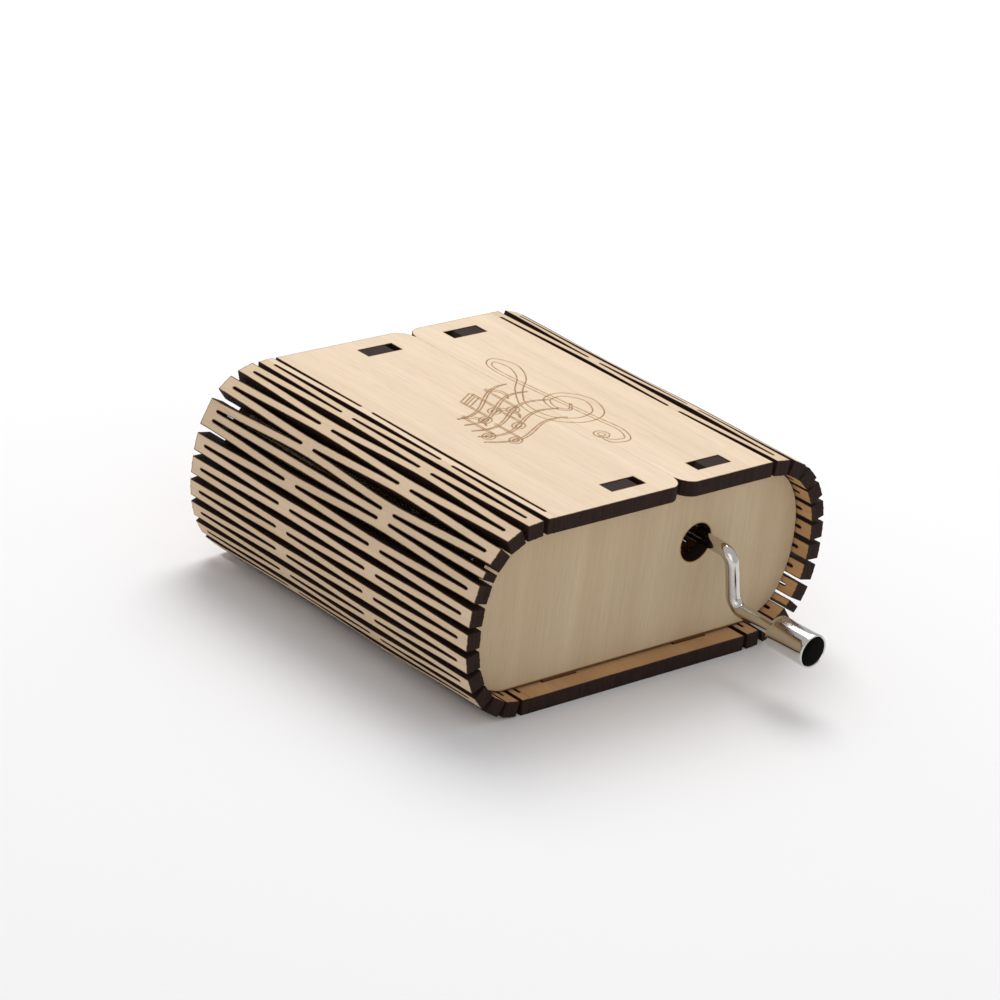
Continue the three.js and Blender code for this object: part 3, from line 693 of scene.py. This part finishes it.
def ellipse(centre, radii, tilt, steps=28):
    turn = np.linspace(0, 2 * math.pi, steps + 1)
    flat = np.stack([radii[0] * np.cos(turn), radii[1] * np.sin(turn)], 1)
    c, s = math.cos(tilt), math.sin(tilt)
    return flat @ np.array([[c, s], [-s, c]]) + np.array(centre)


def clef_lines():
    """A plain textbook G clef, upright along +Y, drawn as the outline of a swelling stroke."""
    spine = smooth_line([(1.6, -1.4), (-0.6, -3.4), (-2.6, -1.2), (-1.0, 2.2), (3.2, 2.4), (6.0, -1.6),
                         (3.6, -6.8), (-2.0, -8.0), (-6.8, -4.6), (-7.2, 1.6), (-3.4, 7.4), (1.4, 12.0),
                         (3.6, 16.8), (2.2, 20.6), (-0.4, 18.8), (-0.7, 12.4), (0.3, 2.0), (1.4, -8.6),
                         (2.0, -14.4), (0.2, -18.2), (-3.2, -17.6), (-3.7, -14.9)])
    spine += CLEF_PLACE
    widths = [(0.0, 0.3), (0.12, 1.1), (0.3, 2.3), (0.45, 1.2), (0.58, 2.2), (0.66, 0.9), (0.85, 1.0),
              (0.95, 1.3), (1.0, 0.3)]
    bulb = CLEF_PLACE + np.array((-2.9, -14.6))
    return both_edges(spine, widths) + [ellipse(bulb, (size, size), 0.0) for size in (1.5, 0.7)]


def staff_height(x, k):
    """Height of staff line k, which fans out and waves on its way from the clef."""
    return STAFF_FOOT + k * (2.6 + 0.07 * (x + 17)) + 2.2 * np.sin((x + 4.0) * 0.24)


def staff_lines():
    """Five staff lines, each drawn as the two edges of a narrow ribbon."""
    lines = []
    for k in range(5):
        x = np.linspace(-16.5 + 0.6 * k, 8.0 - 1.2 * abs(k - 2), 70)
        line = np.stack([x, staff_height(x, k)], 1)
        lines += both_edges(line, [(0.0, 0.25), (0.5, 0.62), (1.0, 0.25)])
    return lines


def note_lines(x, k, height, flag):
    """A note on staff line k: tilted oval head, double stem and a curled flag."""
    y = staff_height(x, k)
    foot = np.array((x + 1.45, y + 0.4))
    top = foot + np.array((0.0, height))
    lines = [ellipse((x, y), (1.65, 1.15), 0.45), ellipse((x, y), (0.95, 0.5), 0.45)]
    lines += both_edges(np.linspace(foot, top, 8), [(0.0, 0.45), (1.0, 0.45)])
    if flag:
        curl = smooth_line([top, top + (1.9, -1.5), top + (2.2, -3.4), top + (1.3, -5.0)], 8)
        lines += both_edges(curl, [(0.0, 1.0), (0.5, 0.7), (1.0, 0.1)])
    return lines


def beam_lines(x0, x1, k, height):
    """The double beam that ties the stems of two notes."""
    ends = [np.array((x + 1.45, staff_height(x, k) + 0.4 + height)) for x in (x0, x1)]
    lines = []
    for drop in (0.0, 1.6):
        beam = np.linspace(ends[0] - (0, drop), ends[1] - (0, drop), 8)
        lines += both_edges(beam, [(0.0, 0.8), (1.0, 0.8)])
    return lines


def engraving():
    """All the engraved lines. A note is its place along the staff, line, stem height and flag."""
    lines = clef_lines() + staff_lines()
    for x, k, height, flag in ((-14.0, 1, 8.4, True), (-9.6, 3, 7.6, False), (-5.2, 3, 7.6, False),
                               (-10.6, 0, 7.0, False), (-1.6, 2, 9.0, True), (-5.6, 1, 7.2, True)):
        lines += note_lines(x, k, height, flag)
    return lines + beam_lines(-9.6, -5.2, 3, 7.6)


def groove_amount(x, y, lines):
    """How deep the engraving is at each point, from 0 to 1."""
    nearest = np.full(x.shape, 1e9)
    for line in lines:
        a, b = line[:-1], line[1:]
        d = b - a
        length = np.maximum((d ** 2).sum(1), 1e-12)
        low, high = line.min(0) - 1.0, line.max(0) + 1.0
        near = (x > low[0]) & (x < high[0]) & (y > low[1]) & (y < high[1])
        px, py = x[near][:, None], y[near][:, None]
        t = np.clip(((px - a[:, 0]) * d[:, 0] + (py - a[:, 1]) * d[:, 1]) / length, 0, 1)
        gap = np.hypot(px - a[:, 0] - t * d[:, 0], py - a[:, 1] - t * d[:, 1]).min(1)
        nearest[near] = np.minimum(nearest[near], gap)
    return np.clip(1.0 - (nearest - GROOVE_HALF * 0.4) / GROOVE_HALF, 0.0, 1.0)


# ---- Panels ---------------------------------------------------------------------------------


FAR = 99.0
SMALLEST_STEP = 0.02


def grid_lines(low, high, edges, coarse, fine=None):
    """Grid stations: rounded rims and scorch bands at every edge, fine steps where they are asked."""
    marks = {low, high}
    for edge in edges:
        for gap in (0.0, EDGE_ROUND, SCORCH * 0.5, SCORCH, 0.8):
            marks |= {edge - gap, edge + gap}
    marks |= set(np.arange(low, high, coarse))
    if fine:
        start, stop, step = fine
        marks = {mark for mark in marks if not start < mark < stop or any(
            abs(abs(mark - edge) - gap) < 1e-9 for edge in edges for gap in (0.0, EDGE_ROUND, SCORCH))}
        marks |= set(np.arange(start, stop, step))
    ordered = sorted(mark for mark in marks if low <= mark <= high)
    kept = [ordered[0]]
    for mark in ordered[1:]:
        if mark - kept[-1] > SMALLEST_STEP:
            kept.append(mark)
    kept[-1] = high
    return np.array(kept)


def slab(name, xs, ys, holes, z, edge_x, lines=(), free_spans=None, hinge_x=None, skins=None):
    """Board on a grid. edge_x(y) gives both X limits at a station, holes are rectangles, lines are
    engraved, and free_spans are stretches of the hinge side that aren't cut. hinge_x says if that
    side is the low or the high one. A cover's straight seam is left crisp and unburnt, so that the
    two covers meet in a hairline."""
    count_x, count_y = len(xs), len(ys)
    share = (xs - xs[0]) / (xs[-1] - xs[0])
    limits = np.array([edge_x(y) for y in ys])
    grid_x = np.empty((count_y, count_x))
    for row, (start, stop) in enumerate(limits):
        plain = start == xs[0] and stop == xs[-1]
        grid_x[row] = xs if plain else start + share * (stop - start)
    grid_y = np.repeat(ys[:, None], count_x, 1)

    middle_x = (xs[:-1] + xs[1:]) / 2
    middle_y = (ys[:-1] + ys[1:]) / 2
    solid = np.ones((count_y - 1, count_x - 1), bool)
    for x0, x1, y0, y1 in holes:
        across = (middle_x > x0) & (middle_x < x1)
        down = (middle_y > y0) & (middle_y < y1)
        solid &= ~(across[None, :] & down[:, None])

    gap = distance_to_edges(grid_x, grid_y, limits, ys, holes, free_spans, hinge_x)
    burn = np.clip(1.0 - gap / SCORCH, 0.0, 1.0)
    rim = np.clip(1.0 - gap / EDGE_ROUND, 0.0, 1.0) * EDGE_ROUND
    groove = groove_amount(grid_x, grid_y, lines) if len(lines) else np.zeros_like(grid_x)
    top = z[1] - rim - GROOVE_DEPTH * groove
    low = z[0] + rim
    burn_top = np.maximum(burn, 0.68 * groove)

    total = count_x * count_y
    points = np.concatenate([np.stack([grid_x, grid_y, top], 2).reshape(-1, 3),
                             np.stack([grid_x, grid_y, low], 2).reshape(-1, 3)])
    rows, columns = np.nonzero(solid)
    a = rows * count_x + columns
    quads_up = np.stack([a, a + 1, a + 1 + count_x, a + count_x], 1)
    quads_down = quads_up[:, ::-1] + total
    walls = wall_quads(quads_up, total)
    faces = np.concatenate([quads_up, quads_down, walls])
    indices = [0] * len(quads_up) + [2] * len(quads_down) + [1] * len(walls)
    used = np.unique(faces)
    remap = np.full(2 * total, -1)
    remap[used] = np.arange(len(used))
    burn_all = np.concatenate([burn_top.ravel(), burn.ravel()])[used]
    skins = skins or [COVER_WOOD, CHARRED, INNER_WOOD]
    return piece(name, points[used], remap[faces].tolist(), skins, indices, burn_all)


def distance_to_edges(grid_x, grid_y, limits, ys, holes, free_spans, hinge_x):
    """Distance from each grid point to the nearest cut edge, measured along the grid."""
    left = grid_x - limits[:, 0][:, None]
    right = limits[:, 1][:, None] - grid_x
    if free_spans:
        uncut = np.array([inside(y - FRONT, free_spans) for y in ys])
        side = left if hinge_x == "low" else right
        side[uncut] = FAR
        seam = right if hinge_x == "low" else left
        seam_limit = limits[:, 1] if hinge_x == "low" else limits[:, 0]
        straight = seam_limit.max() if hinge_x == "low" else seam_limit.min()
        seam[np.abs(seam_limit - straight) < 1e-6] = FAR
    gap = np.minimum(left, right)
    gap = np.minimum(gap, np.minimum(grid_y - ys[0], ys[-1] - grid_y))
    for x0, x1, y0, y1 in holes:
        dx = np.maximum(np.maximum(x0 - grid_x, grid_x - x1), 0.0)
        dy = np.maximum(np.maximum(y0 - grid_y, grid_y - y1), 0.0)
        gap = np.minimum(gap, np.hypot(dx, dy))
    return gap


def wall_quads(quads, total):
    """One quad down the edge of the board wherever a cell has no neighbour."""
    starts = quads.ravel()
    stops = np.roll(quads, -1, 1).ravel()
    forward = starts.astype(np.int64) * total + stops
    backward = stops.astype(np.int64) * total + starts
    open_edge = ~np.isin(backward, forward)
    a, b = starts[open_edge], stops[open_edge]
    return np.stack([b, a, a + total, b + total], 1)


def slots_at(x):
    """The front and back tab slots at x, as rectangles."""
    half_x, half_y = SLOT[0] / 2, SLOT[1] / 2
    return [(x - half_x, x + half_x, y - half_y, y + half_y) for y in (-SLOT_Y, SLOT_Y)]


def corner_inset(y):
    """How far the seam side steps back at the rounded corners."""
    into = max(SEAM_CORNER - (LENGTH / 2 - abs(y)), 0.0) / SEAM_CORNER
    return SEAM_CORNER * (1.0 - math.sqrt(max(1.0 - min(into, 1.0) ** 2, 0.0)))


def cover(name):
    side = SIDES[name]
    bend = Bend(name)
    hinge = bend.lines[-1].x
    edge = hinge + bend.pitch + KERF / 2 if side < 0 else hinge - HINGE_GAP / 2
    seam = SEAM_X + side * SEAM_GAP / 2
    low, high = (edge, seam) if side < 0 else (seam, edge)
    holes = slots_at(SEAM_X + side * TOP_TAB_OFFSET)
    lines = engraving()
    reach = np.concatenate(lines)
    start, stop = reach.min(0) - 0.6, reach.max(0) + 0.6
    fine_x = (max(start[0], low), min(stop[0], high), 0.18)
    xs = grid_lines(low, high, [low, high, holes[0][0], holes[0][1]], 1.6, fine_x)
    edges_y = [FRONT, -FRONT, *holes[0][2:], *holes[1][2:]]
    marks = [FRONT + y for span in BACK_ROW_BRIDGES + FRONT_ROW_BRIDGES for y in span]
    ys = grid_lines(FRONT, -FRONT, edges_y, 0.9, (start[1], stop[1], 0.18))
    marks = [mark for mark in marks if abs(mark) < LENGTH / 2]
    ys = np.array(sorted(set(np.round(ys, 5)) | set(np.round(marks, 5))))

    def limits(y):
        inset = corner_inset(y)
        return (low, high - inset) if side < 0 else (low + inset, high)

    spans = BACK_ROW_BRIDGES if side < 0 else FRONT_ROW_BRIDGES
    board = slab(f"{name}_cover_board", xs, ys, holes, (TOP - SHEET, TOP), limits, lines, spans,
                 "low" if side < 0 else "high")
    put(board, f"{name}_cover", "sheet_plywood", f"{name}_cover")


def bottom_board():
    left, right = Bend("left"), Bend("right")
    low = left.lines[0].x + left.pitch + KERF / 2
    high = right.lines[0].x - HINGE_GAP / 2
    holes = slots_at(-BOTTOM_TAB_X) + slots_at(BOTTOM_TAB_X)
    xs = grid_lines(low, high, [low, high, *(hole[k] for hole in holes for k in (0, 1))], 1.6)
    edges_y = [FRONT, -FRONT, *(hole[k] for hole in holes for k in (2, 3))]
    ys = grid_lines(FRONT, -FRONT, edges_y, 1.6)
    board = slab("bottom_panel_board", xs, ys, holes, (0.0, SHEET), lambda y: (low, high),
                 skins=[INNER_WOOD, CHARRED, COVER_WOOD])
    put(board, "root", "sheet_plywood", "bottom_panel")


# ---- Crank ----------------------------------------------------------------------------------


def sweep(name, path, radius, sides, material):
    """Round rod along a path that lies in one plane or bends gently, capped at both ends."""
    points, faces = [], []
    path = [Vector(p) for p in path]
    side = Vector((1, 0, 0))
    for k, p in enumerate(path):
        ahead = path[min(k + 1, len(path) - 1)] - path[max(k - 1, 0)]
        ahead.normalize()
        side = (side - ahead * side.dot(ahead)).normalized()
        up = ahead.cross(side)
        for n in range(sides):
            turn = 2 * math.pi * n / sides
            points.append(p + (side * math.cos(turn) + up * math.sin(turn)) * radius)
    for ring in range(len(path) - 1):
        for n in range(sides):
            a, b = ring * sides + n, ring * sides + (n + 1) % sides
            faces.append((a, b, b + sides, a + sides))
    last = (len(path) - 1) * sides
    faces.append(tuple(reversed(range(sides))))
    faces.append(tuple(range(last, last + sides)))
    return shade_smooth(piece(name, points, faces, [material]))


def filleted(corner_points, radius, steps=10):
    """The straight legs between the points, which meet at right angles, with an arc at each corner."""
    points = [Vector(p) for p in corner_points]
    path = [points[0]]
    for before, corner, after in zip(points, points[1:], points[2:]):
        into, out = (corner - before).normalized(), (after - corner).normalized()
        centre = corner - into * radius + out * radius
        for k in range(steps + 1):
            turn = math.pi / 2 * k / steps
            path.append(centre + into * (radius * math.sin(turn)) - out * (radius * math.cos(turn)))
    path.append(points[-1])
    return path


def turned(name, profile, axis, materials, sides=72, dark_from=None):
    """A piece turned about a line along Y through axis. The profile is (radius, y) pairs that close on
    themselves. From profile point dark_from on, its faces take the second material."""
    points, faces, indices = [], [], []
    count = len(profile)
    for n in range(sides):
        turn = 2 * math.pi * n / sides
        for radius, y in profile:
            points.append((axis.x + radius * math.cos(turn), y, axis.z + radius * math.sin(turn)))
    for n in range(sides):
        for k in range(count):
            a, b = n * count + k, n * count + (k + 1) % count
            c = ((n + 1) % sides) * count
            faces.append((a, b, c + (k + 1) % count, c + k))
            indices.append(int(dark_from is not None and k >= dark_from))
    item = piece(name, points, faces, materials, indices)
    tidy(item)
    return shade_smooth(item)


def tidy(item):
    """Merges doubled points and turns every face outward."""
    work = bmesh.new()
    work.from_mesh(item.data)
    bmesh.ops.remove_doubles(work, verts=work.verts, dist=1e-6)
    bmesh.ops.recalc_face_normals(work, faces=work.faces)
    work.to_mesh(item.data)
    work.free()


def build_crank():
    """The bent wire with its peened end, and the hollow barrel that turns on it."""
    axis = joint_point("crank_turn")
    handle = joint_point("knob_spin")
    rod_low, rod_high = corners("crank_rod")
    knob_low, knob_high = corners("crank_knob")
    end = rod_low.y
    path = filleted([(axis.x, rod_high.y, axis.z), (axis.x, ARM_Y, axis.z), (handle.x, ARM_Y, handle.z),
                     (handle.x, end + 0.5, handle.z)], BEND_RADIUS)
    rod = sweep("crank_rod_wire", path, ROD_RADIUS, 32, NICKEL)
    profile = [(0.0, end + 0.9), (2.1, end + 0.9), (2.2, end + 0.65), (1.85, end + 0.25),
               (1.1, end + 0.08), (0.0, end + 0.02)]
    peen = turned("crank_peen", profile, handle, [NICKEL])
    put(joined("crank_wire", [rod, peen]), "crank", "nickel", "crank_rod")

    radius = (knob_high.x - knob_low.x) / 2
    back, front = knob_high.y, knob_low.y
    bore, floor, hole = radius - 0.42, front + 4.2, 1.5
    outside = [(hole, back), (radius - 0.75, back), (radius - 0.35, back - 0.12),
               (radius - 0.12, back - 0.45), (radius - 0.10, back - 1.0), (radius - 0.04, front + 1.2),
               (radius, front + 0.35), (radius - 0.05, front + 0.1), (radius - 0.18, front),
               (bore + 0.12, front)]
    # The bore's faces take the second material: near-black painted shade for the deep hollow.
    inside_bore = [(bore, front + 0.12), (bore - 0.05, floor - 0.3), (bore - 0.4, floor), (hole, floor)]
    knob = turned("crank_barrel", outside + inside_bore, handle, [NICKEL, BORE_SHADE], 96,
                  dark_from=len(outside))
    put(knob, "knob", "nickel", "crank_knob")


# ---- Movement -------------------------------------------------------------------------------


def softened(node, material, width):
    """The CAD node's solid with its sharp edges rounded."""
    source = frame["nodes"][node]
    mesh = source.data.copy()
    item = bpy.data.objects.new(node + "_finished", mesh)
    bpy.context.scene.collection.objects.link(item)
    for key in list(item.keys()):
        del item[key]
    mesh.materials.clear()
    mesh.materials.append(material)
    work = bmesh.new()
    work.from_mesh(mesh)
    bmesh.ops.remove_doubles(work, verts=work.verts, dist=2e-6)
    bmesh.ops.dissolve_limit(work, angle_limit=math.radians(2.0), verts=work.verts, edges=work.edges)
    bmesh.ops.recalc_face_normals(work, faces=work.faces)
    work.to_mesh(mesh)
    work.free()
    bevel = item.modifiers.new("bevel", "BEVEL")
    bevel.width = width * MM
    bevel.segments = 2
    bevel.limit_method = "ANGLE"
    bevel.angle_limit = math.radians(35)
    bevel.use_clamp_overlap = True
    apply_modifiers(item)
    return shade_smooth(item, 40.0)


def apply_modifiers(item):
    graph = bpy.context.evaluated_depsgraph_get()
    baked = bpy.data.meshes.new_from_object(item.evaluated_get(graph))
    item.modifiers.clear()
    item.data = baked


def round_bar_x(name, profile, centre, material, sides):
    """A piece turned about a line along X, from (radius, x) pairs that close on themselves."""
    item = turned(name, profile, Vector((0, 0, 0)), [material], sides)
    turn = Matrix(((0, 1, 0, 0), (1, 0, 0, 0), (0, 0, -1, 0), (0, 0, 0, 1)))
    item.data.transform(turn)
    item.data.transform(Matrix.Translation((0, centre.y * MM, centre.z * MM)))
    tidy(item)
    return shade_smooth(item)


def drum():
    """The sleeve with chamfered rims, and its pins."""
    axis = joint_point("cylinder_turn")
    low, high = corners("pinned_drum")
    x0, x1 = low.x, high.x
    chamfer = 0.12
    bore = DRUM_RADIUS - DRUM_WALL
    skin = [(bore, x0), (DRUM_RADIUS - chamfer, x0), (DRUM_RADIUS, x0 + chamfer),
            (DRUM_RADIUS, x1 - chamfer), (DRUM_RADIUS - chamfer, x1), (bore, x1)]
    parts = [round_bar_x("drum_skin", skin, axis, BRASS, 128)]
    parts.append(drum_pins(axis, (x0 + x1) / 2))
    put(joined("drum_sleeve", parts), "cylinder", "brass", "pinned_drum")


def drum_pins(axis, middle, sides=6):
    """A ring of small pins for each note, scattered round the drum as a tune would need them. shape
    is a pin's radius and height above the drum, from foot to tip."""
    points, faces = [], []
    shape = ((0.17, -0.1), (0.15, 0.28), (0.07, 0.38))
    for note in range(NOTES):
        x = middle + (note - (NOTES - 1) / 2) * PIN_PITCH
        for k in range(PINS_PER_NOTE):
            turn = note * 2.4 + k * 0.69 + random.uniform(-0.12, 0.12)
            out = Vector((0, math.sin(turn), math.cos(turn)))
            side = Vector((0, math.cos(turn), -math.sin(turn)))
            first = len(points)
            for width, height in shape:
                for n in range(sides):
                    a = 2 * math.pi * n / sides
                    spot = Vector((x, axis.y, axis.z)) + out * (DRUM_RADIUS + height)
                    spot += Vector((math.cos(a) * width, 0, 0)) + side * (math.sin(a) * width)
                    points.append(spot)
            for ring in range(len(shape) - 1):
                for n in range(sides):
                    a, b = first + ring * sides + n, first + ring * sides + (n + 1) % sides
                    faces.append((a, b, b + sides, a + sides))
            top = first + (len(shape) - 1) * sides
            faces.append(tuple(range(top, top + sides)))
            faces.append(tuple(reversed(range(first, first + sides))))
    item = piece("drum_pins", points, faces, [BRASS])
    tidy(item)
    return item


def build_movement():
    """The hidden movement. Each row is a node, body, slot, material and edge rounding."""
    drum()
    finishes = [
        ("movement_bedplate", "root", "casting", CASTING, 0.25),
        ("worm_bracket", "root", "steel", STEEL, 0.18),
        ("tone_comb", "root", "steel", STEEL, 0.07),
        ("movement_screw_front", "root", "steel", SCREW_STEEL, 0.12),
        ("movement_screw_back", "root", "steel", SCREW_STEEL, 0.12),
        ("worm_bracket_screw_front", "root", "steel", SCREW_STEEL, 0.1),
        ("worm_bracket_screw_back", "root", "steel", SCREW_STEEL, 0.1),
        ("comb_screw_left", "root", "steel", SCREW_STEEL, 0.12),
        ("comb_screw_right", "root", "steel", SCREW_STEEL, 0.12),
        ("drum_cap_left", "cylinder", "brass", BRASS, 0.12),
        ("drum_cap_right", "cylinder", "brass", BRASS, 0.12),
        ("drum_arbor", "cylinder", "steel", STEEL, 0.15),
        ("worm_wheel", "cylinder", "brass", BRASS, 0.08),
        ("worm", "crank", "brass", BRASS, 0.06),
    ]
    for node, body, slot, material, width in finishes:
        put(softened(node, material, width), body, slot, node)


def finish_end_plates():
    """The CAD plates are kept, with a better material."""
    for node in ("front_end_plate", "rear_end_plate"):
        item = frame["nodes"][node]
        item.data.materials.clear()
        item.data.materials.append(END_WOOD)


# ---- Stage ----------------------------------------------------------------------------------

# Degrees and millimetres. right and up shift the aim, and lens is the focal length.
CAMERA = {"target": (1.0, 0.0, 19.11), "azimuth": -45.083, "elevation": 23.691, "roll": 7.968,
          "distance": 762.4, "right": 2.241, "up": -0.565, "lens": 148.57}


def add_camera():
    azimuth, elevation, roll = (math.radians(CAMERA[key]) for key in ("azimuth", "elevation", "roll"))
    back = Vector((math.sin(azimuth) * math.cos(elevation), -math.cos(azimuth) * math.cos(elevation),
                   math.sin(elevation)))
    level = Vector((math.cos(azimuth), math.sin(azimuth), 0.0))
    upright = back.cross(level)
    right = level * math.cos(roll) + upright * math.sin(roll)
    up = upright * math.cos(roll) - level * math.sin(roll)
    aim = Vector(CAMERA["target"]) - right * CAMERA["right"] - up * CAMERA["up"]
    place = aim + back * CAMERA["distance"]
    data = bpy.data.cameras.new("camera")
    data.lens = CAMERA["lens"]
    data.sensor_width = 36.0
    data.clip_start = 0.01
    camera = bpy.data.objects.new("camera", data)
    camera.matrix_world = Matrix.Translation(place * MM) @ Matrix((right, up, back)).transposed().to_4x4()
    bpy.context.scene.collection.objects.link(camera)
    bpy.context.scene.camera = camera


def area_light(name, place, target, size, power, colour):
    data = bpy.data.lights.new(name, "AREA")
    data.shape = "RECTANGLE"
    data.size, data.size_y = size
    data.energy = power
    data.color = colour
    light = bpy.data.objects.new(name, data)
    light.location = place
    light.rotation_euler = (Vector(target) - Vector(place)).to_track_quat("-Z", "Y").to_euler()
    bpy.context.scene.collection.objects.link(light)


def add_stage():
    bpy.ops.mesh.primitive_plane_add(size=8.0, location=(0, 0, 0))
    floor = bpy.context.object
    floor.name = "floor"
    floor.data.materials.append(floor_paint())
    world = bpy.data.worlds.new("studio")
    world.use_nodes = True
    world.node_tree.nodes["Background"].inputs["Color"].default_value = (0.97, 0.975, 1.0, 1.0)
    world.node_tree.nodes["Background"].inputs["Strength"].default_value = 0.60
    bpy.context.scene.world = world
    bpy.context.scene.view_settings.view_transform = "Standard"
    area_light("key", (0.30, 0.35, 0.80), (0, 0, 0.02), (0.6, 0.6), 5.6, (1.0, 0.985, 0.96))
    area_light("fill", (-0.5, -0.7, 0.35), (0, 0, 0.02), (0.6, 0.6), 0.9, (1.0, 0.97, 0.93))


# ---- Build ----------------------------------------------------------------------------------

build_hinges()
for side_name in SIDES:
    cover(side_name)
bottom_board()
finish_end_plates()
build_crank()
build_movement()
add_stage()
add_camera()
